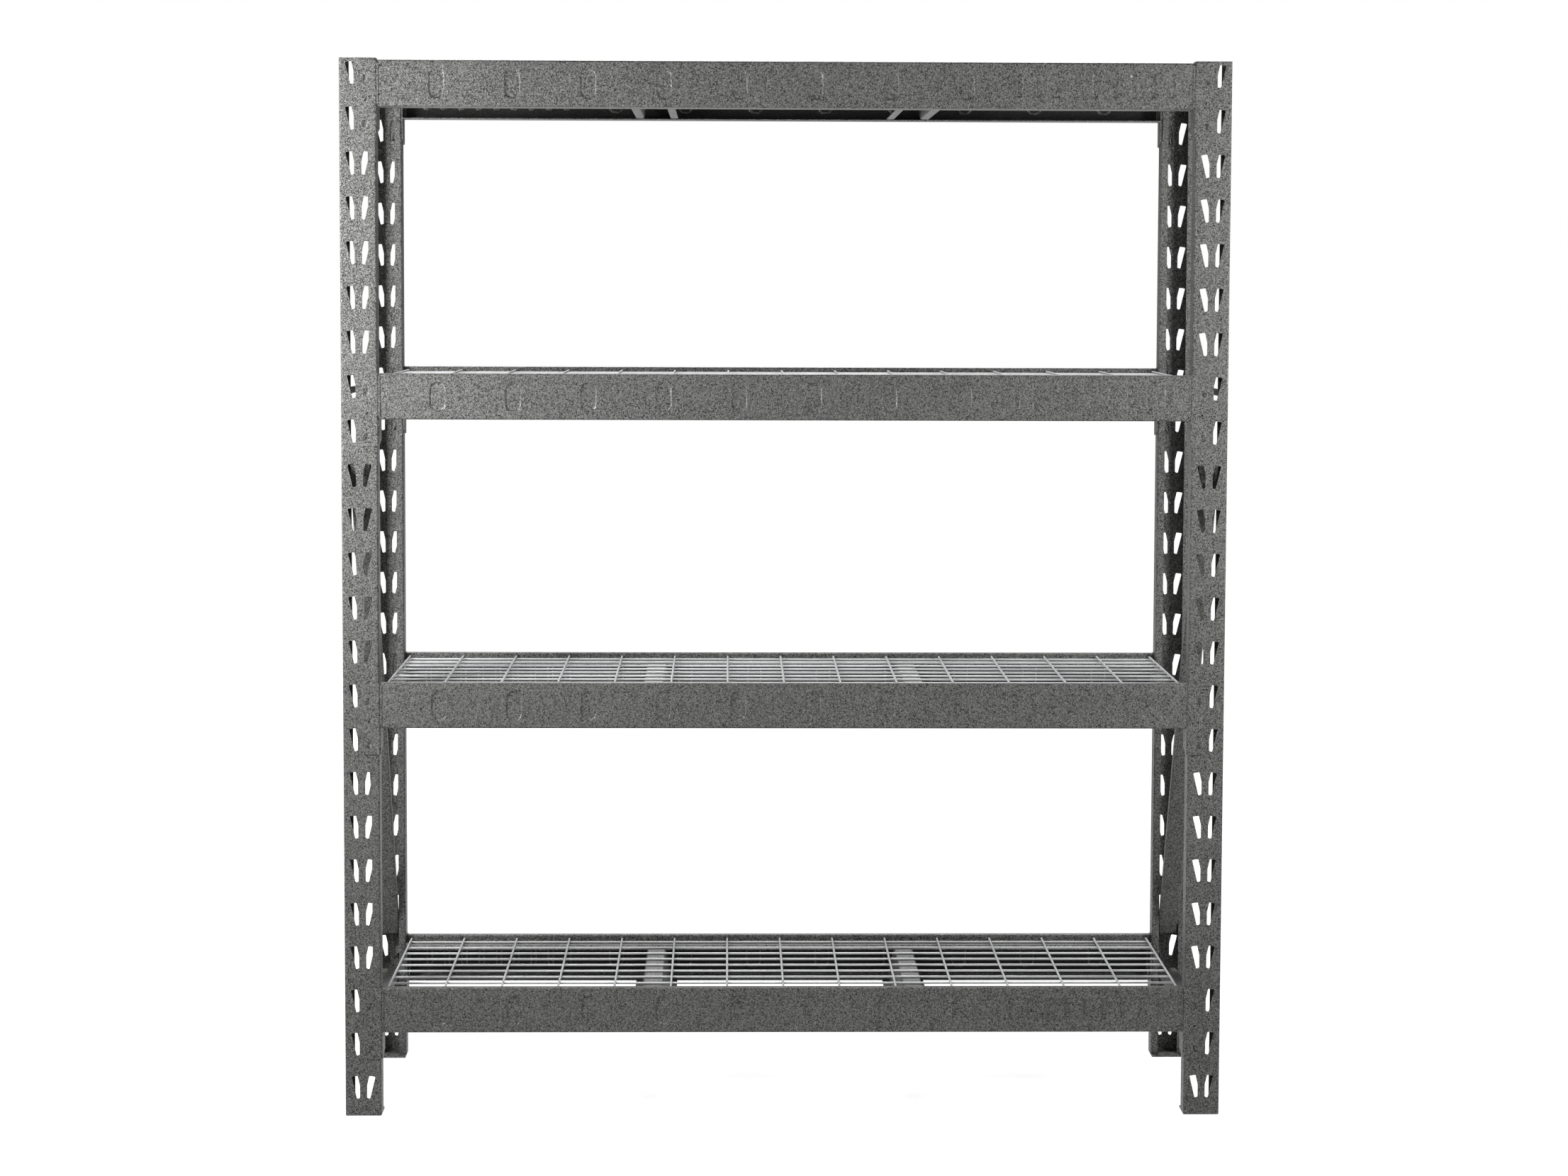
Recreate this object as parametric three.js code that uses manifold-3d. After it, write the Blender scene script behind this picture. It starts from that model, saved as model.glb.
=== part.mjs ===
// Boltless steel shelving rack: four slotted posts in two braced side frames,
// four shelf levels of hook-on beams, hat-section crossbars and welded wire decks.
// Millimetres, +Z up, origin on the floor at the middle of the footprint.
// X runs along the beams, the front of the rack faces -Y.
import * as THREE from 'three';
import { mergeVertices } from 'three/addons/utils/BufferGeometryUtils.js';
import Module from 'manifold-3d';

const wasm = await Module();
wasm.setup();

// ---------------------------------------------------------------- driving dimensions
const WIDTH = 1524;
const DEPTH = 457.2;
const HEIGHT = 1828.8;
const GAP = 0.3;

const SHEET = 1.8;
const POST_WIDTH = 62.5;
const POST_DEPTH = 35;
const POST_LIP = 13;
const POST_BEND = 2.4;

const SLOT_ROWS = 24;
const SLOT_PITCH = 76.2;
const SLOT_DROP = 5.8;
const SLOT_HEIGHT = 41;
const SLOT_WIDE_OUT = 20.9;
const SLOT_WIDE_IN = 10;
const SLOT_NARROW_OUT = 11.5;
const SLOT_NARROW_IN = 6.1;
const SLOT_KINK = 17.2;

const LEVELS = 4;
const LEVEL_PITCH = 7 * SLOT_PITCH;
const TOP_BEAM_DROP = 3.3;
const BEAM_HEIGHT = 79;
const BEAM_DEPTH = 50.8;
const BEAM_TOP = 17;
const BEAM_RIM = 12.4;
const BEAM_LIP = 9;
const BEAM_SETBACK = 2;

const PLATE = 2.2;
const PLATE_HEIGHT = 124.4;
const PLATE_FACE = 32;
const PLATE_SIDE = 41.5;
const PLATE_CORNER = 5;
const HOOK_DROPS = [31.8, 108];
const HOOK_LENGTH = 12;
const HOOK_THICK = 2.2;
const HOOK_IN = 9.1;
const HOOK_SLANT = 3;
const HOOK_REACH = 7;
const HOOK_TIP = 4;
const SLIT_WIDTH = 2.8;
const PIN_HOLE_DROP = 68.2;
const PIN_HOLE_RADIUS = 2;

const WIRE = 3.8;
const LONG_WIRES = 9;
const LONG_WIRE_PITCH = 48.2;
const CROSS_WIRES = 15;
const CROSS_WIRE_PITCH = 98.6;

const BAR_OFFSET = 229.5;
const BAR_TOP = 33.5;
const BAR_FOOT = 47.8;
const BAR_WIDTH = 76.4;
const BAR_HALF = 205;
const BAR_TOP_HALF = 158.5;
const BAR_END_DROP = 48;

const FOOT_THICK = 3;
const FOOT_DEPTH = 50.8;
const FOOT_HOLE = 43;
const FOOT_HOLE_RADIUS = 4.5;

const BRACE_WIDTH = 36;
const BRACE_HEIGHT = 12.5;
const BRACE_INSET = 14;
const BRACE_TOPS = { lower: 163, middle: 1269, upper: 1785 };
const DIAGONAL_TOP = 1143;
const DIAGONAL_FOOT = 236;

const CURVE_STEPS = 12;

// ---------------------------------------------------------------- derived places
const POST_X = WIDTH / 2 - POST_WIDTH / 2;
const POST_INNER_X = WIDTH / 2 - POST_WIDTH;
const PLATE_FACE_Y = DEPTH / 2;
const POST_FACE_Y = DEPTH / 2 - PLATE - GAP;
const BEAM_FACE_Y = DEPTH / 2 - BEAM_SETBACK;
const PLATE_INNER_X = POST_INNER_X - GAP - PLATE;
const BEAM_HALF = PLATE_INNER_X - GAP;

function beamTop(level) {
  return HEIGHT - TOP_BEAM_DROP - (LEVELS - level) * LEVEL_PITCH;
}

// ---------------------------------------------------------------- finishes
const paint = new THREE.MeshStandardMaterial({ color: 0x5b5d5c, roughness: 0.5, metalness: 0.35 });
const wire = new THREE.MeshStandardMaterial({ color: 0xb9bcbc, roughness: 0.35, metalness: 0.8 });

// ---------------------------------------------------------------- shape helpers
function shapeOf(points) {
  return new THREE.Shape(points.map(([a, b]) => new THREE.Vector2(a, b)));
}

// Outline in (x, y), pushed up along +Z.
function upright(points, low, high) {
  const geometry = new THREE.ExtrudeGeometry(shapeOf(points), { depth: high - low, bevelEnabled: false });
  return geometry.translate(0, 0, low);
}

// Outline in (x, z), pushed along +Y.
function frontToBack(points, low, high) {
  const geometry = new THREE.ExtrudeGeometry(shapeOf(points), { depth: high - low, bevelEnabled: false });
  return geometry.rotateX(Math.PI / 2).translate(0, high, 0);
}

// Outline in (y, z), pushed along +X.
function sideToSide(points, low, high) {
  const geometry = new THREE.ExtrudeGeometry(shapeOf(points), { depth: high - low, bevelEnabled: false });
  const turn = new THREE.Matrix4().makeBasis(
    new THREE.Vector3(0, 1, 0),
    new THREE.Vector3(0, 0, 1),
    new THREE.Vector3(1, 0, 0),
  );
  return geometry.applyMatrix4(turn).translate(low, 0, 0);
}

function circle(x, y, radius) {
  const points = [];
  for (let step = 0; step < CURVE_STEPS; step += 1) {
    const turn = (2 * Math.PI * step) / CURVE_STEPS;
    points.push([x + radius * Math.cos(turn), y + radius * Math.sin(turn)]);
  }
  return points;
}

function solidOf(geometry) {
  const plain = geometry.clone();
  plain.deleteAttribute('normal');
  plain.deleteAttribute('uv');
  const merged = mergeVertices(plain, 1e-4);
  return new wasm.Manifold(new wasm.Mesh({
    numProp: 3,
    vertProperties: new Float32Array(merged.attributes.position.array),
    triVerts: new Uint32Array(merged.index.array),
  }));
}

function geometryOf(solid) {
  const mesh = solid.getMesh();
  const geometry = new THREE.BufferGeometry();
  geometry.setAttribute('position', new THREE.BufferAttribute(new Float32Array(mesh.vertProperties), 3));
  geometry.setIndex(new THREE.BufferAttribute(new Uint32Array(mesh.triVerts), 1));
  geometry.computeVertexNormals();
  return geometry;
}

function joined(geometries) {
  const solids = geometries.map(solidOf);
  return solids.reduce((sum, solid) => sum.add(solid));
}

function cut(solid, cutters) {
  return solid.subtract(joined(cutters));
}

const rack = new THREE.Group();

function addPiece(name, geometry, material) {
  const mesh = new THREE.Mesh(geometry, material);
  mesh.name = name;
  rack.add(mesh);
}

// Pieces are drawn at the front left corner; a half turn or a mirror puts them at the others.
const CORNERS = [
  { name: 'front_left', x: -1, y: -1 },
  { name: 'front_right', x: 1, y: -1 },
  { name: 'rear_left', x: -1, y: 1 },
  { name: 'rear_right', x: 1, y: 1 },
];

// A copy of a front left solid moved to another corner, with its faces still pointing out.
function atCorner(solid, corner) {
  return geometryOf(solid.scale([-corner.x, -corner.y, 1]));
}

// ---------------------------------------------------------------- posts
// Lipped channel: slotted face outwards, open side towards the middle of the rack.
function postSection() {
  const half = POST_WIDTH / 2;
  const half_in = half - SHEET;
  const mouth = half - POST_LIP;
  const back = POST_DEPTH;
  const near = [
    [POST_BEND - half, 0],
    [half - POST_BEND, 0],
    [half, POST_BEND],
    [half, back],
    [mouth, back],
    [mouth, back - SHEET],
    [half_in, back - SHEET],
    [half_in, SHEET],
    [-half_in, SHEET],
    [-half_in, back - SHEET],
    [-mouth, back - SHEET],
    [-mouth, back],
    [-half, back],
    [-half, POST_BEND],
  ];
  return near.map(([x, y]) => [x - POST_X, y - POST_FACE_Y]);
}

// One keyhole slot, wide at the top and narrow at the bottom; side is -1 or 1.
function slotOutline(side, top) {
  return [
    [SLOT_WIDE_OUT, -1.5],
    [SLOT_WIDE_IN, 0],
    [SLOT_NARROW_IN, -SLOT_KINK],
    [SLOT_NARROW_IN, 2 - SLOT_HEIGHT],
    [SLOT_NARROW_OUT, -SLOT_HEIGHT],
  ].map(([x, z]) => [side * x - POST_X, top + z]);
}

function makePost() {
  const body = solidOf(upright(postSection(), 0, HEIGHT));
  const cutters = [];
  for (let row = 0; row < SLOT_ROWS; row += 1) {
    const top = HEIGHT - SLOT_DROP - row * SLOT_PITCH;
    for (const side of [-1, 1]) {
      cutters.push(frontToBack(slotOutline(side, top), -POST_FACE_Y - 1, SHEET + 1 - POST_FACE_Y));
    }
  }
  // The flanges and lips stop above the foot plate, the slotted face reaches the floor.
  const notch = new THREE.BoxGeometry(POST_WIDTH + 2, POST_DEPTH + 2, 2 * (FOOT_THICK + GAP));
  notch.translate(-POST_X, SHEET + GAP - POST_FACE_Y + POST_DEPTH / 2 + 1, 0);
  cutters.push(notch);
  return cut(body, cutters);
}

// ---------------------------------------------------------------- foot plates
function makeFoot() {
  const near = SHEET + 2 * GAP - POST_FACE_Y;
  const far = FOOT_DEPTH - POST_FACE_Y;
  const outer = [
    [-WIDTH / 2 + GAP, near],
    [-POST_INNER_X - GAP, near],
    [-POST_INNER_X - GAP, far - 3],
    [-POST_INNER_X - 3, far],
    [-WIDTH / 2 + 3, far],
    [-WIDTH / 2 + GAP, far - 3],
  ];
  const anchor = circle(-POST_X, FOOT_HOLE - POST_FACE_Y, FOOT_HOLE_RADIUS);
  return cut(solidOf(upright(outer, 0, FOOT_THICK)), [upright(anchor, -1, FOOT_THICK + 1)]);
}

// ---------------------------------------------------------------- beams
// Open step section: face, top flange, rim down to the deck ledge, lip, and a deep bottom flange.
function beamSection(top) {
  const ledge = -BEAM_RIM;
  return [
    [0, 0],
    [0, -BEAM_HEIGHT],
    [BEAM_DEPTH, -BEAM_HEIGHT],
    [BEAM_DEPTH, SHEET - BEAM_HEIGHT],
    [SHEET, SHEET - BEAM_HEIGHT],
    [SHEET, -SHEET],
    [BEAM_TOP - SHEET, -SHEET],
    [BEAM_TOP - SHEET, ledge - SHEET],
    [BEAM_DEPTH - SHEET, ledge - SHEET],
    [BEAM_DEPTH - SHEET, ledge - BEAM_LIP],
    [BEAM_DEPTH, ledge - BEAM_LIP],
    [BEAM_DEPTH, ledge],
    [BEAM_TOP, ledge],
    [BEAM_TOP, 0],
  ].map(([y, z]) => [y - BEAM_FACE_Y, z + top]);
}

// ---------------------------------------------------------------- connectors
// Angle bracket: slotted leg on the post face, side leg along the post flange, two hooks.
function slant(inner, outer, top, length) {
  return [
    [inner + HOOK_SLANT / 2, top],
    [outer + HOOK_SLANT / 2, top],
    [outer - HOOK_SLANT / 2, top - length],
    [inner - HOOK_SLANT / 2, top - length],
  ].map(([x, z]) => [x - POST_X, z]);
}

function makeConnector(top) {
  const bottom = top - PLATE_HEIGHT;
  const outer = -PLATE_INNER_X - PLATE_FACE;
  const face = frontToBack([
    [-PLATE_INNER_X, top],
    [outer + PLATE_CORNER, top],
    [outer, top - PLATE_CORNER],
    [outer, bottom + PLATE_CORNER],
    [outer + PLATE_CORNER, bottom],
    [-PLATE_INNER_X, bottom],
  ], -PLATE_FACE_Y, PLATE - PLATE_FACE_Y);
  const back = PLATE_SIDE - PLATE_FACE_Y;
  const side = sideToSide([
    [-PLATE_FACE_Y, top],
    [-PLATE_FACE_Y, bottom],
    [PLATE + 5 - PLATE_FACE_Y, bottom],
    [back, bottom + 9],
    [back, top - BEAM_RIM],
    [BEAM_TOP - PLATE_FACE_Y, top - BEAM_RIM],
    [BEAM_TOP - PLATE_FACE_Y, top],
  ], -PLATE_INNER_X - PLATE, -PLATE_INNER_X);
  const solid_parts = [face, side];
  const cutters = [];
  const through = [-PLATE_FACE_Y - 1, PLATE + 1 - PLATE_FACE_Y];
  const post_back = SHEET + GAP - POST_FACE_Y;
  for (const drop of HOOK_DROPS) {
    const hook_top = top - drop + HOOK_LENGTH / 2;
    const hook_out = HOOK_IN + HOOK_THICK;
    const neck = slant(HOOK_IN, hook_out, hook_top, HOOK_LENGTH);
    const tip = slant(HOOK_IN, hook_out, hook_top, HOOK_LENGTH + HOOK_TIP);
    solid_parts.push(frontToBack(neck, PLATE / 2 - PLATE_FACE_Y, post_back + HOOK_REACH));
    solid_parts.push(frontToBack(tip, post_back, post_back + HOOK_REACH));
    const slit = slant(hook_out + GAP, hook_out + GAP + SLIT_WIDTH, hook_top, HOOK_LENGTH);
    cutters.push(frontToBack(slit, ...through));
  }
  const pin_x = -POST_X + HOOK_IN + HOOK_THICK + SLIT_WIDTH;
  cutters.push(frontToBack(circle(pin_x, top - PIN_HOLE_DROP, PIN_HOLE_RADIUS), ...through));
  return cut(joined(solid_parts), cutters);
}

// ---------------------------------------------------------------- wire decks
// Long wires and cross wires welded into one panel, with an open cell between each pair.
function makeDeck(middle) {
  const reach_x = ((CROSS_WIRES - 1) / 2) * CROSS_WIRE_PITCH + WIRE / 2;
  const reach_y = ((LONG_WIRES - 1) / 2) * LONG_WIRE_PITCH + WIRE / 2;
  const block = (x, y, size_x, size_y, size_z) => {
    const box = new THREE.BoxGeometry(size_x, size_y, size_z);
    return box.translate(x, y, middle);
  };
  const cells = [];
  for (let column = 1; column < CROSS_WIRES; column += 1) {
    const x = (column - CROSS_WIRES / 2) * CROSS_WIRE_PITCH;
    for (let row = 1; row < LONG_WIRES; row += 1) {
      const y = (row - LONG_WIRES / 2) * LONG_WIRE_PITCH;
      cells.push(block(x, y, CROSS_WIRE_PITCH - WIRE, LONG_WIRE_PITCH - WIRE, 2 * WIRE));
    }
  }
  const panel = block(0, 0, 2 * reach_x, 2 * reach_y, WIRE);
  return geometryOf(cut(solidOf(panel), cells));
}

// ---------------------------------------------------------------- crossbars
// Hat section standing on the bottom flanges of the beams, its top level with the ledges.
function makeCrossbar(x, top) {
  const height = BEAM_HEIGHT - SHEET - GAP - BEAM_RIM;
  const low = top - BEAM_RIM - height;
  const crown = BAR_TOP / 2;
  const foot = BAR_FOOT / 2;
  const brim = BAR_WIDTH / 2;
  const section = [
    [-brim, 0],
    [-foot, 0],
    [SHEET - crown, height - SHEET],
    [crown - SHEET, height - SHEET],
    [foot, 0],
    [brim, 0],
    [brim, SHEET],
    [foot + SHEET, SHEET],
    [crown, height],
    [-crown, height],
    [-foot - SHEET, SHEET],
    [-brim, SHEET],
  ].map(([u, z]) => [x + u, low + z]);
  const wedge = [
    [BAR_TOP_HALF, height + 1],
    [BAR_HALF, height - BAR_END_DROP],
    [BAR_HALF + 1, height - BAR_END_DROP],
    [BAR_HALF + 1, height + 1],
  ];
  const front = wedge.map(([y, z]) => [-y, low + z]);
  const rear = wedge.map(([y, z]) => [y, low + z]);
  const cutters = [front, rear].map((points) => sideToSide(points, x - brim, x + brim));
  return geometryOf(cut(solidOf(frontToBack(section, -BAR_HALF, BAR_HALF)), cutters));
}

// ---------------------------------------------------------------- side frame braces
// Shallow channel laid along (y, z) from one post to the other; its web is its top or its underside.
function makeBrace(side, front, rear, web_down = false) {
  const run = new THREE.Vector2(rear[0] - front[0], rear[1] - front[1]);
  const half = BRACE_WIDTH / 2;
  const section = [
    [-half, 0],
    [-half, -BRACE_HEIGHT],
    [SHEET - half, -BRACE_HEIGHT],
    [SHEET - half, -SHEET],
    [half - SHEET, -SHEET],
    [half - SHEET, -BRACE_HEIGHT],
    [half, -BRACE_HEIGHT],
    [half, 0],
  ].map(([x, z]) => [x, web_down ? -BRACE_HEIGHT - z : z]);
  const geometry = frontToBack(section, 0, run.length());
  geometry.rotateX(Math.atan2(run.y, run.x));
  return geometry.translate(side * POST_X, front[0], front[1]);
}

// ---------------------------------------------------------------- assembly
const post = makePost();
const foot = makeFoot();
for (const corner of CORNERS) {
  addPiece(`post_${corner.name}`, atCorner(post, corner), paint);
  addPiece(`foot_plate_${corner.name}`, atCorner(foot, corner), paint);
}

const brace_reach = POST_FACE_Y - BRACE_INSET;
for (const [side, side_name] of [[-1, 'left'], [1, 'right']]) {
  for (const [place, top] of Object.entries(BRACE_TOPS)) {
    const geometry = makeBrace(side, [-brace_reach, top], [brace_reach, top]);
    addPiece(`brace_${place}_${side_name}`, geometry, paint);
  }
  const diagonal = makeBrace(side, [-brace_reach, DIAGONAL_TOP], [brace_reach, DIAGONAL_FOOT], true);
  addPiece(`brace_diagonal_${side_name}`, diagonal, paint);
}

for (let level = 1; level <= LEVELS; level += 1) {
  const top = beamTop(level);
  const beam = solidOf(sideToSide(beamSection(top), -BEAM_HALF, BEAM_HALF));
  addPiece(`beam_${level}_front`, geometryOf(beam), paint);
  addPiece(`beam_${level}_rear`, geometryOf(beam.scale([-1, -1, 1])), paint);
  const connector = makeConnector(top);
  for (const corner of CORNERS) {
    addPiece(`connector_${level}_${corner.name}`, atCorner(connector, corner), paint);
  }
  addPiece(`crossbar_${level}_left`, makeCrossbar(-BAR_OFFSET, top), paint);
  addPiece(`crossbar_${level}_right`, makeCrossbar(BAR_OFFSET, top), paint);
  addPiece(`wire_deck_${level}`, makeDeck(top - BEAM_RIM + GAP + WIRE / 2), wire);
}

export default rack;
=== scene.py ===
"""Boltless steel shelving: slotted posts, hook-on step beams, hat crossbars and lift-out wire decks.

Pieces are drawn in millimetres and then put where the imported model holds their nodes.
A post, base plate or bracket is drawn at one corner of the rack in (u, v, z): u runs from the middle
of the post towards the middle of the rack, v from the outside of the rack inwards, z upwards.
A beam is drawn in (v, z) and runs along x.
"""
import cmath
import math

import bmesh
import bpy
from mathutils import Matrix, Vector


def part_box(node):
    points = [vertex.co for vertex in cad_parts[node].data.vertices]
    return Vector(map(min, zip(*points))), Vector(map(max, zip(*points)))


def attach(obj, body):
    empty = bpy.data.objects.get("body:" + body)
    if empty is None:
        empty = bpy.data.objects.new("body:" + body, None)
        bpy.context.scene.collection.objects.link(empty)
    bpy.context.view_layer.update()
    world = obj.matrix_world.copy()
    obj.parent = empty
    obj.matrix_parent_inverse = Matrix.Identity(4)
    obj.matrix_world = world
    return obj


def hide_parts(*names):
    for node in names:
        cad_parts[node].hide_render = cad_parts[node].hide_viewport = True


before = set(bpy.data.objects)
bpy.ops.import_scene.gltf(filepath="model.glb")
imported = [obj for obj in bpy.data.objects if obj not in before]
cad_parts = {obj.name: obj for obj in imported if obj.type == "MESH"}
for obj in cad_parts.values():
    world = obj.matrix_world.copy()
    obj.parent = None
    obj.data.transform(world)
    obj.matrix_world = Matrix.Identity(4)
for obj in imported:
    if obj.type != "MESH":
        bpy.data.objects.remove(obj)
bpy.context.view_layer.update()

MM = 0.001
LEVELS = (1, 2, 3, 4)
SIDES = {"left": -1, "right": 1}
ENDS = {"front": -1, "rear": 1}

# ---------------------------------------------------------------- sizes from the frame
post_low, post_high = (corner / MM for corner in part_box("post_front_left"))
plate_low, plate_high = (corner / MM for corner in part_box("connector_4_front_left"))
beam_low, beam_high = (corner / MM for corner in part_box("beam_4_front"))
deck_low, deck_high = (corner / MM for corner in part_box("wire_deck_4"))
bar_low, bar_high = (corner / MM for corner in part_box("crossbar_4_left"))
base_low, base_high = (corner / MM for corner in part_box("foot_plate_front_left"))
post_x = -(post_low.x + post_high.x) / 2
post_half = (post_high.x - post_low.x) / 2
post_depth = post_high.y - post_low.y
post_height = post_high.z
post_face = -post_low.y
beam_half = beam_high.x
beam_face = -beam_low.y
beam_height = beam_high.z - beam_low.z
beam_depth = beam_high.y - beam_low.y
plate_face = -plate_low.y
plate_end = post_x + plate_low.x
plate_bend = post_x + plate_high.x
plate_height = plate_high.z - plate_low.z
ledge_drop = beam_high.z - bar_high.z
bar_reach = bar_high.y
bar_height = bar_high.z - bar_low.z
beam_tops = {level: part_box(f"beam_{level}_front")[1].z / MM for level in LEVELS}

# ---------------------------------------------------------------- sheet metal sizes
SHEET = 1.8
BEND = 1.3
SOFT = 0.3
POST_LIP = 13
NOTCH_DEPTH = 40
BASE_CORNER = 2.0
ANCHOR_HOLE = (0, 43)
ANCHOR_RADIUS = 4.5
SLOT_ROWS = 24
SLOT_DROP = 5.8
SLOT_CORNER = 1.7
SLOT_OUTLINE = ((20.9, -1.5), (10, 0), (6.1, -17.2), (6.1, -39), (11.5, -41))
PLATE_SHEET = 2.2
PLATE_CORNER = 5
PLATE_SIDE = 41.5
PLATE_CHAMFER = 9
HOOK_DROPS = (31.8, 108)
HOOK_U = (11.0, 14.0)
HOOK_OUTLINE = ((2.6, 6), (11.6, 6), (11.6, -10), (4.9, -10), (4.9, -6), (2.6, -6))
HOOK_SLANT = 0.25
WINDOW_HALF = 6
WINDOW_U = (7.6, 18.9)
FLAP_HALF = 6.2
FLAPS = ((((7.2, 0.75), (11.6, 2.5)), 1.4), (((19.3, 0.7), (14.4, 1.5)), 1.2))
PIN_HOLE = (14.1, -68.2)
PIN_RADIUS = 2
WELD_RADIUS = 2.3
WELD_RIPPLES = 40
WELD_INSET = 3
BEAM_FLANGE = 17
BEAM_LIP = 9
BAR_CROWN = 33.5
BAR_LEGS = 47.8
BAR_CROWN_HALF = 158.5
BAR_END_DROP = 48
BRACE_HEIGHT = 12.5
BRACE_HALF = 18
DIAGONAL_TOP = 1143
DIAGONAL_FOOT = 236
BRACE_REACH = 212.1
WIRE = 3.8
LONG_WIRES = 9
CROSS_WIRES = 15
CROSS_WIRE_END = 208.8

# Relief pressed into a beam's face: eight broad hollows, then a row of narrow ones.
PAD_X = tuple(-596.5 + 129.1 * k for k in range(8))
PAD_RADIUS = 14
PAD_HALF = 12
RIB_X = tuple(398 + 32.5 * k for k in range(9))
RIB_RADIUS = 6.5
RIB_HALF = 15
RELIEF_SINK = 2.0
RELIEF_EDGE = 2.8
RELIEF_MIDDLE = -39.5


# ---------------------------------------------------------------- outlines
def way(start, end):
    return (end - start) / abs(end - start)


def bend_points(before, corner, after, radius, steps):
    """Points and headings along the arc that rounds one corner of a line."""
    come = way(before, corner)
    turn = cmath.phase(way(corner, after) / come)
    start = corner - come * radius * math.tan(abs(turn) / 2)
    centre = start + 1j * come * radius * math.copysign(1, turn)
    swings = [cmath.exp(1j * turn * step / steps) for step in range(steps + 1)]
    return [(centre + (start - centre) * swing, come * swing) for swing in swings]


def folded(corners, sheet=SHEET, bend=BEND, inset=0.0, steps=3):
    """Closed outline of a folded sheet from the corners of its middle line, with soft free edges."""
    line = [complex(*corner) for corner in corners]
    half = sheet / 2 - inset
    first, last = way(line[0], line[1]), way(line[-2], line[-1])
    rail = [
        (line[0] + first * inset, first * (half - SOFT)),
        (line[0] + first * (inset + SOFT), first * half),
    ]
    for before, corner, after in zip(line, line[1:], line[2:]):
        for point, heading in bend_points(before, corner, after, bend + sheet / 2, steps):
            rail.append((point, heading * half))
    rail.append((line[-1] - last * (inset + SOFT), last * half))
    rail.append((line[-1] - last * inset, last * (half - SOFT)))
    left = [point + across * 1j for point, across in rail]
    right = [point - across * 1j for point, across in rail]
    return left + right[::-1]


def rounded(corners, radius, steps=3):
    """Closed outline of a polygon with each corner turned into an arc."""
    line = [complex(*corner) for corner in corners]
    outline = []
    for index, corner in enumerate(line):
        arc = bend_points(line[index - 1], corner, line[(index + 1) % len(line)], radius, steps)
        outline += [point for point, heading in arc]
    return outline


def circle(centre, radius, steps=20):
    return [complex(*centre) + cmath.rect(radius, 2 * math.pi * step / steps) for step in range(steps)]


def grown(outline, distance):
    """The outline moved outwards by a distance."""
    count = len(outline)
    area = sum((outline[i - 1].conjugate() * outline[i]).imag for i in range(count))
    outwards = -1j * math.copysign(1, area)
    moved = []
    for i, point in enumerate(outline):
        tangent = outline[(i + 1) % count] - outline[i - 1]
        moved.append(point + outwards * tangent / abs(tangent) * distance)
    return moved


def split_long(outline, heights):
    """The outline with points added where its long edges cross the heights."""
    result = []
    for start, end in zip(outline, outline[1:] + outline[:1]):
        result.append(start)
        rise = end.imag - start.imag
        if abs(rise) > 40:
            shares = sorted((height - start.imag) / rise for height in heights)
            result += [start + (end - start) * share for share in shares]
    return result


# ---------------------------------------------------------------- mesh building
def along_x(a, b, along):
    return Vector((along, a, b))


def along_y(a, b, along):
    return Vector((a, along, b))


def along_z(a, b, along):
    return Vector((a, b, along))


def sweep(bm, stations, place):
    """A closed bar through the stations, each a distance along and an outline.

    place(a, b, along) gives the point of the outline point (a, b) at that distance.
    """
    rings = [[bm.verts.new(place(p.real, p.imag, along)) for p in outline] for along, outline in stations]
    count = len(rings[0])
    for ring, following in zip(rings, rings[1:]):
        for i in range(count):
            j = (i + 1) % count
            bm.faces.new((ring[i], ring[j], following[j], following[i]))
    bm.faces.new(rings[0])
    bm.faces.new(rings[-1][::-1])


def softened(outline, inner, start, end):
    """Stations of a bar between start and end, with its end edges eased to the inner outline."""
    return [(start, inner), (start + SOFT, outline), (end - SOFT, outline), (end, inner)]


def sheet_bar(corners, start, end, sheet=SHEET, bend=BEND, heights=()):
    outline, inner = (split_long(folded(corners, sheet, bend, inset), heights) for inset in (0.0, SOFT))
    return softened(outline, inner, start, end)


def plate(outline, start, end):
    return softened(outline, grown(outline, -SOFT), start, end)


def flared(outline, face, back):
    """Stations of a punch through a face, which leaves the near edge of the hole slightly eased."""
    return [(face - 1, grown(outline, 1 + SOFT)), (face + SOFT, outline), (back + 1, outline)]


def rod(bm, start, end, radius=WIRE / 2, sides=12):
    """A round bar with eased ends."""
    ease = radius * 0.35
    length = (end - start).length
    turn = (end - start).to_track_quat("Z", "Y").to_matrix()
    shares = ((0, 0.6), (ease, 1), (length - ease, 1), (length, 0.6))
    stations = [(along, circle((0, 0), radius * share, sides)) for along, share in shares]
    sweep(bm, stations, lambda a, b, along: start + turn @ Vector((a, b, along)))


def mesh_of(bm):
    bmesh.ops.recalc_face_normals(bm, faces=bm.faces)
    mesh = bpy.data.meshes.new("shape")
    bm.to_mesh(mesh)
    bm.free()
    return mesh


def carved(body_mesh, cutter_mesh):
    """The first shape with the second cut out of it."""
    body = bpy.data.objects.new("carve_body", body_mesh)
    cutter = bpy.data.objects.new("carve_cutter", cutter_mesh)
    for item in (body, cutter):
        bpy.context.collection.objects.link(item)
    cut = body.modifiers.new("cut", "BOOLEAN")
    cut.operation = "DIFFERENCE"
    cut.solver = "EXACT"
    cut.object = cutter
    view = bpy.context.evaluated_depsgraph_get()
    mesh = bpy.data.meshes.new_from_object(body.evaluated_get(view))
    for item in (body, cutter):
        bpy.data.objects.remove(item)
    return mesh


def placed(shape, move, mirrored=False):
    """A copy of a shape, with move(point) applied, in metres."""
    mesh = shape.copy()
    for vertex in mesh.vertices:
        vertex.co = move(vertex.co) * MM
    if mirrored:
        mesh.flip_normals()
    return mesh


def corner_place(side, end, face, lift=0.0):
    """Where a piece drawn in (u, v, z) stands at one corner of the rack."""
    return lambda p: Vector((side * (post_x - p.x), end * (face - p.y), p.z + lift))


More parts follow.
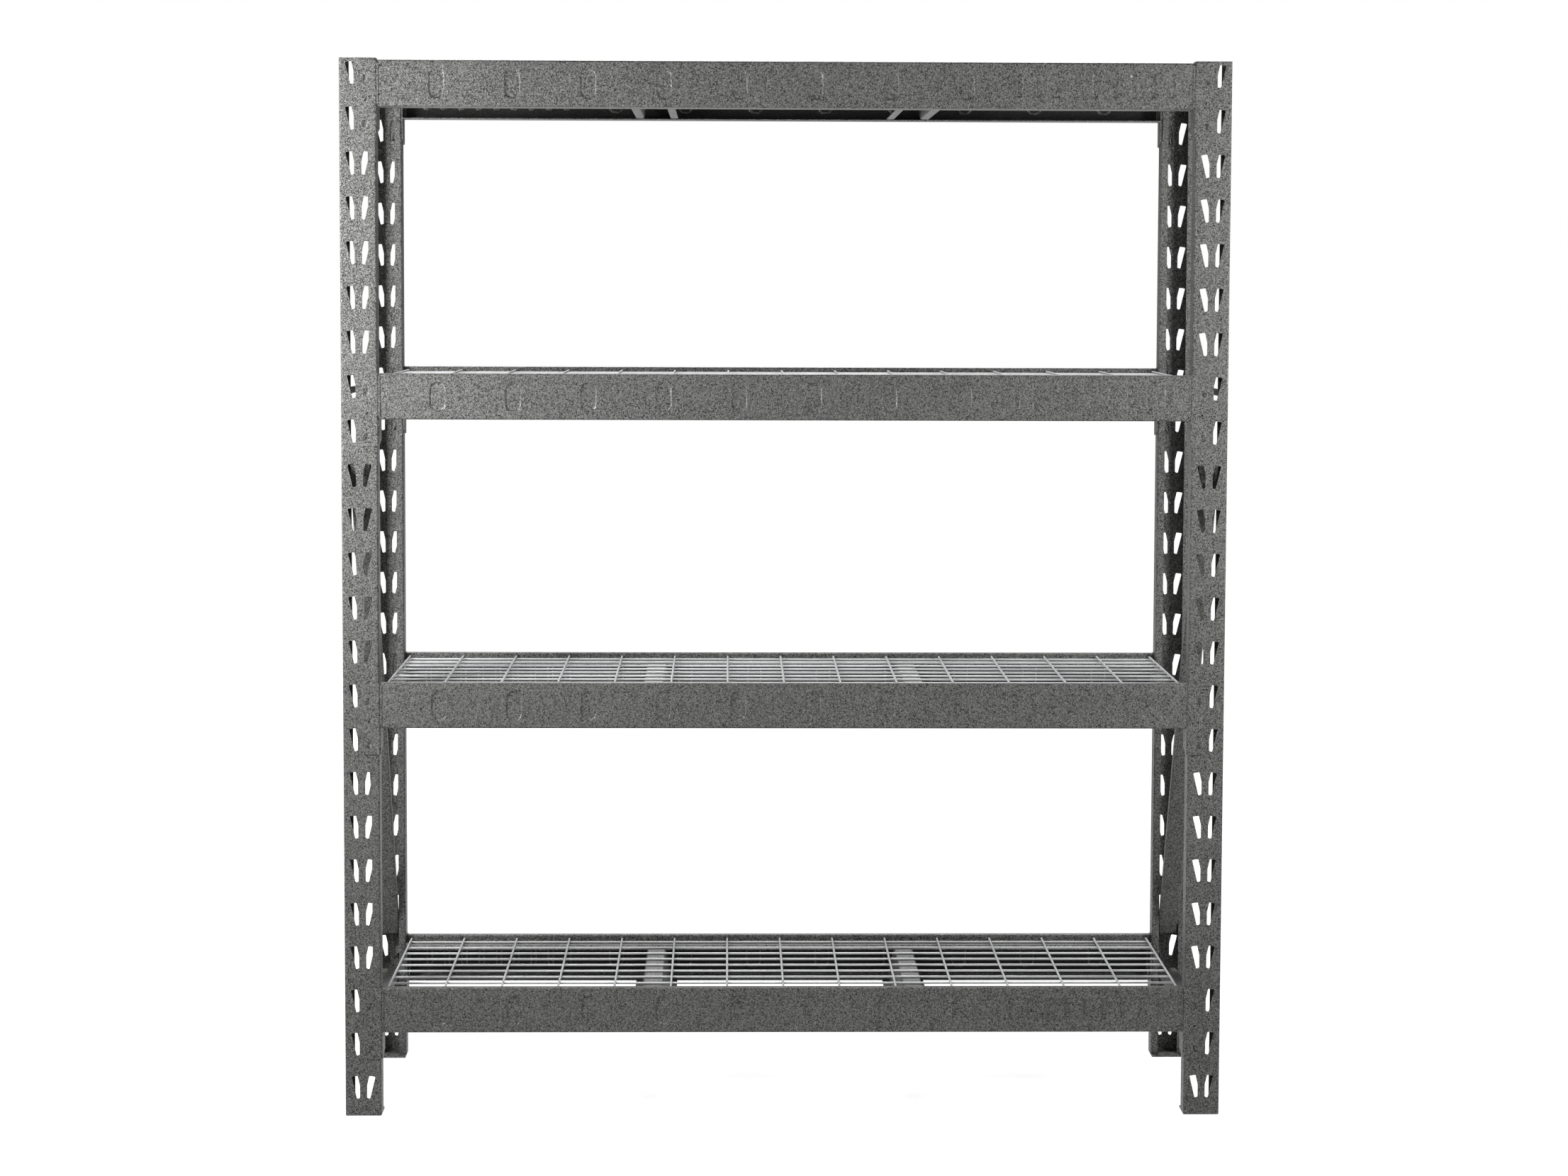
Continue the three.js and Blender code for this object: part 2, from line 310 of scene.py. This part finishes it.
def add_piece(name, mesh, finish, body):
    """Puts one finished piece on its body, in place of its solid in the frame."""
    material, slot = finish
    mesh.name = name
    mesh.materials.clear()
    mesh.materials.append(material)
    mesh.polygons.foreach_set("use_smooth", [True] * len(mesh.polygons))
    mesh.set_sharp_from_angle(angle=math.radians(35))
    piece = bpy.data.objects.new(f"{name}_piece", mesh)
    bpy.context.collection.objects.link(piece)
    even = piece.modifiers.new("even shading", "WEIGHTED_NORMAL")
    even.keep_sharp = True
    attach(piece, body)
    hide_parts(name)
    return piece


# ---------------------------------------------------------------- material helpers
def new_group(name, inputs, outputs):
    group = bpy.data.node_groups.new(name, "ShaderNodeTree")
    for socket, value in inputs.items():
        made = group.interface.new_socket(socket, in_out="INPUT", socket_type="NodeSocketFloat")
        made.default_value = value
    for socket, kind in outputs.items():
        group.interface.new_socket(socket, in_out="OUTPUT", socket_type=kind)
    return group, group.nodes.new("NodeGroupInput"), group.nodes.new("NodeGroupOutput")


def math_node(tree, operation, *values):
    """A math node whose inputs are numbers or sockets; gives its output socket."""
    node = tree.nodes.new("ShaderNodeMath")
    node.operation = operation
    for socket, value in zip(node.inputs, values):
        if isinstance(value, (int, float)):
            socket.default_value = value
        else:
            tree.links.new(value, socket)
    return node.outputs[0]


def noise_node(tree, place, scale, detail, distortion=0.0):
    node = tree.nodes.new("ShaderNodeTexNoise")
    node.inputs["Detail"].default_value = detail
    node.inputs["Distortion"].default_value = distortion
    tree.links.new(place, node.inputs["Vector"])
    if isinstance(scale, (int, float)):
        node.inputs["Scale"].default_value = scale
    else:
        tree.links.new(scale, node.inputs["Scale"])
    return node.outputs["Fac"]


def between(tree, value, low, high):
    """The value spread smoothly from 0 at low to 1 at high."""
    node = tree.nodes.new("ShaderNodeMapRange")
    node.interpolation_type = "SMOOTHSTEP"
    node.inputs["From Min"].default_value = low
    node.inputs["From Max"].default_value = high
    tree.links.new(value, node.inputs["Value"])
    return node.outputs["Result"]


def object_place(tree):
    return tree.nodes.new("ShaderNodeTexCoord").outputs["Object"]


def make_hammered():
    """Pebbled skin of hammered paint: worm-like raised cells with fine grit between them."""
    group, inner, outer = new_group(
        "hammered skin",
        {"Cells per metre": 290.0, "Grit per metre": 1400.0},
        {"Height": "NodeSocketFloat", "Ridge": "NodeSocketFloat"},
    )
    place = object_place(group)
    worms = noise_node(group, place, inner.outputs["Cells per metre"], 1.5, 1.4)
    grit = noise_node(group, place, inner.outputs["Grit per metre"], 1.0)
    ridge = between(group, worms, 0.36, 0.64)
    height = math_node(group, "MULTIPLY_ADD", grit, 0.22, ridge)
    group.links.new(height, outer.inputs["Height"])
    group.links.new(ridge, outer.inputs["Ridge"])
    return group


def make_drift():
    """Slow, faint change of tone over a surface, as paint and plating have."""
    group, inner, outer = new_group(
        "tone drift",
        {"Patches per metre": 6.0, "Amount": 0.1},
        {"Tone": "NodeSocketFloat"},
    )
    patches = noise_node(group, object_place(group), inner.outputs["Patches per metre"], 3.0)
    centred = math_node(group, "SUBTRACT", patches, 0.5)
    tone = math_node(group, "MULTIPLY_ADD", centred, inner.outputs["Amount"], 1.0)
    group.links.new(tone, outer.inputs["Tone"])
    return group


def make_edges():
    """Mask of the outer edges, where paint lies thin; the paint is lightened there, partly as wear and
    partly as a painted highlight.
    """
    group, inner, outer = new_group(
        "thin edges and painted highlight",
        {"Width": 0.0009},
        {"Edge": "NodeSocketFloat"},
    )
    bevel = group.nodes.new("ShaderNodeBevel")
    bevel.samples = 4
    group.links.new(inner.outputs["Width"], bevel.inputs["Radius"])
    surface = group.nodes.new("ShaderNodeNewGeometry")
    dot = group.nodes.new("ShaderNodeVectorMath")
    dot.operation = "DOT_PRODUCT"
    group.links.new(bevel.outputs["Normal"], dot.inputs[0])
    group.links.new(surface.outputs["Normal"], dot.inputs[1])
    turned = math_node(group, "SUBTRACT", 1.0, dot.outputs["Value"])
    group.links.new(between(group, turned, 0.02, 0.22), outer.inputs["Edge"])
    return group


hammered_skin = make_hammered()
tone_drift = make_drift()
thin_edges_and_highlight = make_edges()


def new_material(name, roughness, metallic):
    material = bpy.data.materials.new(name)
    material.use_nodes = True
    shader = material.node_tree.nodes["Principled BSDF"]
    shader.inputs["Roughness"].default_value = roughness
    shader.inputs["Metallic"].default_value = metallic
    return material, material.node_tree, shader


def group_node(tree, group, **values):
    node = tree.nodes.new("ShaderNodeGroup")
    node.node_tree = group
    for name, value in values.items():
        node.inputs[name.replace("_", " ")].default_value = value
    return node


def colour_between(tree, share, low, high):
    node = tree.nodes.new("ShaderNodeMix")
    node.data_type = "RGBA"
    node.inputs["A"].default_value = (*low, 1.0)
    node.inputs["B"].default_value = (*high, 1.0)
    tree.links.new(share, node.inputs["Factor"])
    return node.outputs["Result"]


def toned(tree, colour, tone):
    """The colour made lighter or darker by a tone near 1."""
    node = tree.nodes.new("ShaderNodeVectorMath")
    node.operation = "SCALE"
    tree.links.new(colour, node.inputs[0])
    tree.links.new(tone, node.inputs["Scale"])
    return node.outputs["Vector"]


def bump_node(tree, height, strength, distance):
    node = tree.nodes.new("ShaderNodeBump")
    node.inputs["Strength"].default_value = strength
    node.inputs["Distance"].default_value = distance
    tree.links.new(height, node.inputs["Height"])
    return node.outputs["Normal"]


def inner_side(tree):
    """Mask of the back of a beam's front sheet, which faces the middle of the rack under the ledge; the beam
    paint is darkened there as painted shade.
    """
    split = [tree.nodes.new("ShaderNodeSeparateXYZ") for step in range(2)]
    tree.links.new(object_place(tree), split[0].inputs[0])
    tree.links.new(tree.nodes.new("ShaderNodeNewGeometry").outputs["Normal"], split[1].inputs[0])
    outwards = math_node(tree, "MULTIPLY", split[0].outputs["Y"], split[1].outputs["Y"])
    inwards = math_node(tree, "MULTIPLY", outwards, -1.0)
    return between(tree, inwards, (beam_face - 10) * MM, (beam_face - 4) * MM)


def make_hammered_paint(name, painted_inner_shade=0.0):
    """Dark grey hammered paint; the second argument is how much darker the back of a beam's front sheet is
    painted, as painted shade.
    """
    material, tree, shader = new_material(name, 0.42, 0.45)
    skin = group_node(tree, hammered_skin, Cells_per_metre=460.0, Grit_per_metre=1700.0)
    drift = group_node(tree, tone_drift, Patches_per_metre=5.0, Amount=0.25)
    edges = group_node(tree, thin_edges_and_highlight, Width=0.0009)
    cells = colour_between(tree, skin.outputs["Ridge"], (0.009, 0.0094, 0.009), (0.190, 0.192, 0.185))
    # Edges lightened to a paler grey: partly worn thin paint, partly a painted highlight.
    worn_and_highlit = tree.nodes.new("ShaderNodeMix")
    worn_and_highlit.data_type = "RGBA"
    worn_and_highlit.inputs["B"].default_value = (0.22, 0.222, 0.216, 1.0)
    tree.links.new(math_node(tree, "MULTIPLY", edges.outputs["Edge"], 0.55), worn_and_highlit.inputs["Factor"])
    tree.links.new(cells, worn_and_highlit.inputs["A"])
    coat = toned(tree, worn_and_highlit.outputs["Result"], drift.outputs["Tone"])
    # Painted shade: darkens the back of a beam's front sheet, where the ledge keeps the light off.
    if painted_inner_shade:
        coat = toned(tree, coat, math_node(tree, "MULTIPLY_ADD", inner_side(tree), -painted_inner_shade, 1.0))
    tree.links.new(coat, shader.inputs["Base Color"])
    rough = math_node(tree, "MULTIPLY_ADD", skin.outputs["Ridge"], -0.16, 0.56)
    tree.links.new(rough, shader.inputs["Roughness"])
    tree.links.new(bump_node(tree, skin.outputs["Height"], 0.6, 0.0006), shader.inputs["Normal"])
    return material


def make_bright_wire():
    material, tree, shader = new_material("bright wire", 0.34, 0.3)
    drift = group_node(tree, tone_drift, Patches_per_metre=9.0, Amount=0.25)
    skin = group_node(tree, hammered_skin, Cells_per_metre=700.0, Grit_per_metre=2600.0)
    plated = colour_between(tree, skin.outputs["Ridge"], (0.44, 0.445, 0.45), (0.60, 0.605, 0.61))
    tree.links.new(toned(tree, plated, drift.outputs["Tone"]), shader.inputs["Base Color"])
    rough = math_node(tree, "MULTIPLY_ADD", skin.outputs["Ridge"], 0.12, 0.28)
    tree.links.new(rough, shader.inputs["Roughness"])
    tree.links.new(bump_node(tree, skin.outputs["Height"], 0.25, 0.0001), shader.inputs["Normal"])
    return material


def make_pale_floor():
    material, tree, shader = new_material("pale floor", 0.8, 0.0)
    drift = group_node(tree, tone_drift, Patches_per_metre=0.7, Amount=0.03)
    grain = noise_node(tree, object_place(tree), 420.0, 2.0)
    pale = colour_between(tree, grain, (0.19, 0.19, 0.19), (0.21, 0.21, 0.21))
    tree.links.new(toned(tree, pale, drift.outputs["Tone"]), shader.inputs["Base Color"])
    away = tree.nodes.new("ShaderNodeVectorMath")
    away.operation = "LENGTH"
    tree.links.new(object_place(tree), away.inputs[0])
    glow = colour_between(tree, between(tree, away.outputs["Value"], 0.8, 5.0), (0.92,) * 3, (1.0,) * 3)
    rays = tree.nodes.new("ShaderNodeLightPath")
    seen = math_node(tree, "MULTIPLY_ADD", rays.outputs["Is Camera Ray"], 0.92, 0.08)
    mirrored = math_node(tree, "MULTIPLY_ADD", rays.outputs["Is Glossy Ray"], 0.92, seen)
    tree.links.new(toned(tree, glow, mirrored), shader.inputs["Emission Color"])
    shader.inputs["Emission Strength"].default_value = 1.0
    below = tree.nodes.new("ShaderNodeNewGeometry").outputs["Backfacing"]
    clear = tree.nodes.new("ShaderNodeBsdfTransparent")
    one_sided = tree.nodes.new("ShaderNodeMixShader")
    tree.links.new(below, one_sided.inputs[0])
    tree.links.new(shader.outputs["BSDF"], one_sided.inputs[1])
    tree.links.new(clear.outputs["BSDF"], one_sided.inputs[2])
    tree.links.new(one_sided.outputs["Shader"], tree.nodes["Material Output"].inputs["Surface"])
    return material


PAINT = (make_hammered_paint("hammered paint"), "hammered_paint")
# The beams get a copy of the paint with painted shade on the back of their front sheet.
BEAM_PAINT_SHADED_INSIDE = (make_hammered_paint("hammered beam paint with painted shade", 0.93), "hammered_paint")
PLATED = (make_bright_wire(), "wire")


# ---------------------------------------------------------------- posts
def make_post():
    half = post_half - SHEET / 2
    back = post_depth - SHEET / 2
    mouth = post_half - POST_LIP
    face = SHEET / 2
    section = ((-mouth, back), (-half, back), (-half, face), (half, face), (half, back), (mouth, back))
    body = bmesh.new()
    sweep(body, sheet_bar(section, 0, post_height), along_z)
    cutter = bmesh.new()
    for row in range(SLOT_ROWS):
        top = post_height - SLOT_DROP - row * post_height / SLOT_ROWS
        for side in (-1, 1):
            corners = [(side * u, top + z) for u, z in SLOT_OUTLINE]
            sweep(cutter, flared(rounded(corners, SLOT_CORNER), 0, SHEET), along_y)
    stop = base_high.z + SOFT
    reach, near = post_half + 1, SHEET + SOFT
    notch = ((-reach, near), (reach, near), (reach, NOTCH_DEPTH), (-reach, NOTCH_DEPTH))
    notch = [complex(*corner) for corner in notch]
    sweep(cutter, [(-2, notch), (stop, notch)], along_z)
    return carved(mesh_of(body), mesh_of(cutter))


def make_base():
    half = (base_high.x - base_low.x) / 2
    near, far = base_low.y + post_face, base_high.y + post_face
    outline = rounded(((-half, near), (half, near), (half, far), (-half, far)), BASE_CORNER)
    body = bmesh.new()
    sweep(body, plate(outline, 0, base_high.z), along_z)
    hole = circle(ANCHOR_HOLE, ANCHOR_RADIUS, 24)
    eased = (base_high.z + 1, grown(hole, 1 + SOFT))
    punch = bmesh.new()
    sweep(punch, [(-1, hole), (base_high.z - SOFT, hole), eased], along_z)
    return carved(mesh_of(body), mesh_of(punch))


post_shape = make_post()
base_shape = make_base()
for end_name, end in ENDS.items():
    for side_name, side in SIDES.items():
        corner = f"{end_name}_{side_name}"
        mirrored = side * end < 0
        move = corner_place(side, end, post_face)
        add_piece(f"post_{corner}", placed(post_shape, move, mirrored), PAINT, "frame")
        add_piece(f"foot_plate_{corner}", placed(base_shape, move, mirrored), PAINT, "frame")


# ---------------------------------------------------------------- side frame braces
def make_brace(length, web_down=False):
    half = BRACE_HALF - SHEET / 2
    section = [(-half, -BRACE_HEIGHT), (-half, -SHEET / 2), (half, -SHEET / 2), (half, -BRACE_HEIGHT)]
    if web_down:
        section = [(x, -BRACE_HEIGHT - z) for x, z in section]
    body = bmesh.new()
    sweep(body, sheet_bar(section, 0, length), along_y)
    return mesh_of(body)


flat_brace = make_brace(2 * BRACE_REACH)
fall = Vector((0, 2 * BRACE_REACH, DIAGONAL_FOOT - DIAGONAL_TOP))
steep_brace = make_brace(fall.length, web_down=True)
tilt = Matrix.Rotation(math.atan2(fall.z, fall.y), 3, "X")
for side_name, side in SIDES.items():
    for height in ("lower", "middle", "upper"):
        name = f"brace_{height}_{side_name}"
        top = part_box(name)[1].z / MM
        start = Vector((side * post_x, -BRACE_REACH, top))
        add_piece(name, placed(flat_brace, lambda p: p + start), PAINT, "frame")
    start = Vector((side * post_x, -BRACE_REACH, DIAGONAL_TOP))
    add_piece(f"brace_diagonal_{side_name}", placed(steep_brace, lambda p: tilt @ p + start), PAINT, "frame")


# ---------------------------------------------------------------- beams
def pill_sink(x, z, middle, radius, half):
    """Depth of one round-ended hollow in the sheet at (x, z)."""
    away = math.hypot(x - middle, max(abs(z - RELIEF_MIDDLE) - half, 0))
    share = min(max((radius - away) / RELIEF_EDGE, 0), 1)
    return RELIEF_SINK * share * share * (3 - 2 * share)


def relief(x, z):
    pads = [pill_sink(x, z, middle, PAD_RADIUS, PAD_HALF) for middle in PAD_X]
    ribs = [pill_sink(x, z, middle, RIB_RADIUS, RIB_HALF) for middle in RIB_X]
    return max(pads + ribs)


def pressed(outline, x):
    """The section at x, with its face pressed inwards where the relief is."""
    return [p + relief(x, p.imag) if p.real < SHEET + 0.1 else p for p in outline]


def make_beam():
    face, back = SHEET / 2, beam_depth - SHEET / 2
    rim, foot = BEAM_FLANGE - SHEET / 2, SHEET / 2 - beam_height
    ledge = -ledge_drop - SHEET / 2
    section = (
        (beam_depth, foot),
        (face, foot),
        (face, -SHEET / 2),
        (rim, -SHEET / 2),
        (rim, ledge),
        (back, ledge),
        (back, -ledge_drop - BEAM_LIP),
    )
    heights = [RELIEF_MIDDLE + 1.5 * step for step in range(-18, 19)]
    stations = sheet_bar(section, -beam_half, beam_half, heights=heights)
    outline = stations[1][1]
    places = []
    for middles, radius, steps in ((PAD_X, PAD_RADIUS, 20), (RIB_X, RIB_RADIUS, 12)):
        places += [m + radius * (2 * step / steps - 1) for m in middles for step in range(steps + 1)]
    body = bmesh.new()
    face_stations = [(x, pressed(outline, x)) for x in sorted(places)]
    sweep(body, stations[:2] + face_stations + stations[2:], along_x)
    bmesh.ops.dissolve_limit(body, angle_limit=math.radians(0.2), verts=body.verts, edges=body.edges)
    return mesh_of(body)


# ---------------------------------------------------------------- connectors
def slanted(a, b, along, drop):
    """Leans a point drawn in (u, v) at a height, as the hooks and their windows lean."""
    return Vector((a + HOOK_SLANT * along, b, along - drop))


def make_connector():
    leg = plate_bend - PLATE_SHEET / 2
    section = ((plate_end, PLATE_SHEET / 2), (leg, PLATE_SHEET / 2), (leg, PLATE_SIDE))
    body = bmesh.new()
    sweep(body, sheet_bar(section, -plate_height, 0, PLATE_SHEET, 1.6), along_z)
    cutter = bmesh.new()
    turn = complex(plate_end, 0) + PLATE_CORNER * (1 - 1j)
    arc = [turn + cmath.rect(PLATE_CORNER, math.radians(angle)) for angle in range(90, 181, 15)]
    outside = [(plate_end - 1, -PLATE_CORNER), (plate_end - 1, 1), (plate_end + PLATE_CORNER, 1)]
    upper = arc + [complex(*corner) for corner in outside]
    lower = [p.conjugate() - 1j * plate_height for p in upper]
    for outline in (upper, lower):
        sweep(cutter, [(-1, outline), (PLATE_SHEET + 1, outline)], along_y)
    step = ((BEAM_FLANGE, 1), (PLATE_SIDE + 2, 1), (PLATE_SIDE + 2, -ledge_drop), (BEAM_FLANGE, -ledge_drop))
    slope = ((6, -0.3), (PLATE_SIDE + 1.5, PLATE_CHAMFER + 0.4), (PLATE_SIDE + 1.5, -2), (6, -2))
    slope = [(v, z - plate_height) for v, z in slope]
    for corners in (step, slope):
        outline = [complex(*corner) for corner in corners]
        sweep(cutter, [(leg - 3, outline), (leg + 3, outline)], along_x)
    for drop in HOOK_DROPS:
        near, far = -PLATE_SHEET / 2, PLATE_SHEET * 3 / 2
        window = [complex(u, v) for u, v in zip(WINDOW_U + WINDOW_U[::-1], (near, near, far, far))]
        ends = [(-WINDOW_HALF, window), (WINDOW_HALF, window)]
        sweep(cutter, ends, lambda a, b, along: slanted(a, b, along, drop))
    sweep(cutter, flared(circle(PIN_HOLE, PIN_RADIUS), 0, PLATE_SHEET), along_y)
    shape = bmesh.new()
    shape.from_mesh(carved(mesh_of(body), mesh_of(cutter)))
    for drop in HOOK_DROPS:
        for strip, sheet in FLAPS:
            flap = sheet_bar(strip, -FLAP_HALF, FLAP_HALF, sheet)
            sweep(shape, flap, lambda a, b, along: slanted(a, b, along, drop))
        hook = rounded(HOOK_OUTLINE, 0.9)
        sweep(shape, plate(hook, *HOOK_U), lambda a, b, along: slanted(along, a, b, drop))
    weld = []
    for step in range(WELD_RIPPLES + 1):
        size = WELD_RADIUS + 0.25 * math.sin(step * 1.9)
        reach = size if 0 < step < WELD_RIPPLES else 0.8
        drop = WELD_INSET + step * (beam_height - 2 * WELD_INSET) / WELD_RIPPLES
        weld.append((-drop, circle((plate_bend + 1.0, 3.0), reach, 10)))
    sweep(shape, weld, along_z)
    return mesh_of(shape)


# ---------------------------------------------------------------- crossbars
def make_crossbar():
    brim = (bar_high.x - bar_low.x) / 2
    low, high = SHEET / 2, bar_height - SHEET / 2
    legs, crown = BAR_LEGS / 2 + SHEET / 2, BAR_CROWN / 2 - SHEET / 2
    section = ((-brim, low), (-legs, low), (-crown, high), (crown, high), (legs, low), (brim, low))
    kink = bar_height - BAR_END_DROP

    def end_place(a, b, along):
        """Slopes both ends of the bar back above the kink."""
        cut = max(b - kink, 0) * (bar_reach - BAR_CROWN_HALF) / BAR_END_DROP
        return Vector((a, math.copysign(abs(along) - cut, along), b))

    body = bmesh.new()
    sweep(body, sheet_bar(section, -bar_reach, bar_reach, heights=[kink]), end_place)
    return mesh_of(body)


# ---------------------------------------------------------------- wire decks
def make_deck():
    reach_x, reach_y = deck_high.x - WIRE / 2, deck_high.y - WIRE / 2
    body = bmesh.new()
    for i in range(LONG_WIRES):
        y = reach_y * (2 * i / (LONG_WIRES - 1) - 1)
        rod(body, Vector((-deck_high.x, y, 0)), Vector((deck_high.x, y, 0)))
    for i in range(CROSS_WIRES):
        x = reach_x * (2 * i / (CROSS_WIRES - 1) - 1)
        rod(body, Vector((x, -CROSS_WIRE_END, WIRE - 0.25)), Vector((x, CROSS_WIRE_END, WIRE - 0.25)))
    return mesh_of(body)


beam_shape = make_beam()
connector_shape = make_connector()
crossbar_shape = make_crossbar()
deck_shape = make_deck()
deck_drop = beam_high.z - (deck_low.z + deck_high.z) / 2
for level, top in beam_tops.items():
    body = f"shelf_{level}"
    for end_name, end in ENDS.items():
        move = lambda p: Vector((-end * p.x, end * (beam_face - p.y), p.z + top))
        add_piece(f"beam_{level}_{end_name}", placed(beam_shape, move), BEAM_PAINT_SHADED_INSIDE, body)
        for side_name, side in SIDES.items():
            name = f"connector_{level}_{end_name}_{side_name}"
            move = corner_place(side, end, plate_face, top)
            add_piece(name, placed(connector_shape, move, side * end < 0), PAINT, body)
    for side_name, side in SIDES.items():
        name = f"crossbar_{level}_{side_name}"
        low, high = (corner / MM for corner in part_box(name))
        start = Vector(((low.x + high.x) / 2, 0, low.z))
        add_piece(name, placed(crossbar_shape, lambda p: p + start), PAINT, body)
    lift = Vector((0, 0, top - deck_drop))
    add_piece(f"wire_deck_{level}", placed(deck_shape, lambda p: p + lift), PLATED, f"deck_{level}")


# ---------------------------------------------------------------- floor, light and camera
def add_floor():
    bm = bmesh.new()
    bmesh.ops.create_grid(bm, x_segments=8, y_segments=8, size=40)
    floor = bpy.data.objects.new("floor", mesh_of(bm))
    floor.data.materials.append(make_pale_floor())
    bpy.context.collection.objects.link(floor)


def add_light(name, place, target, size, power):
    lamp = bpy.data.lights.new(name, "AREA")
    lamp.shape = "RECTANGLE"
    lamp.size, lamp.size_y = size
    lamp.energy = power
    light = bpy.data.objects.new(name, lamp)
    light.location = place
    light.rotation_euler = (Vector(target) - Vector(place)).to_track_quat("-Z", "Y").to_euler()
    bpy.context.collection.objects.link(light)


def make_surroundings():
    """White surroundings that give far less light than their own brightness."""
    world = bpy.data.worlds.new("studio")
    world.use_nodes = True
    tree = world.node_tree
    shine = tree.nodes["Background"]
    shine.inputs["Color"].default_value = (1.0, 1.0, 1.0, 1.0)
    seen = tree.nodes.new("ShaderNodeLightPath").outputs["Is Camera Ray"]
    tree.links.new(math_node(tree, "MULTIPLY_ADD", seen, 0.92, 0.08), shine.inputs["Strength"])
    bpy.context.scene.world = world


def add_camera():
    lens = bpy.data.cameras.new("camera")
    lens.sensor_width = 36
    lens.lens = 70.99
    lens.shift_y = -0.0568
    lens.clip_end = 200
    camera = bpy.data.objects.new("camera", lens)
    aim = Matrix.Rotation(-0.01825, 4, "Z") @ Matrix.Rotation(math.pi / 2 - 0.07043, 4, "X")
    aim = aim @ Matrix.Rotation(0.00332, 4, "Z")
    camera.matrix_world = Matrix.Translation((-0.0992, -5.533, 1.4525)) @ aim
    bpy.context.collection.objects.link(camera)
    bpy.context.scene.camera = camera


add_floor()
add_light("left", (-1.5, -0.95, 1.5), (-0.7, -0.2, 1.4), (0.5, 0.9), 46)
add_light("right", (1.6, -0.9, 1.5), (0.8, -0.2, 1.3), (0.4, 0.9), 22)
add_light("front", (0.0, -6.0, 3.0), (0.0, 0.0, 0.9), (3.0, 2.0), 62)
add_light("back", (0.0, 5.0, 5.5), (0.0, 0.2, 0.9), (3.0, 2.0), 420)
make_surroundings()
add_camera()
bpy.context.scene.view_settings.view_transform = "Standard"
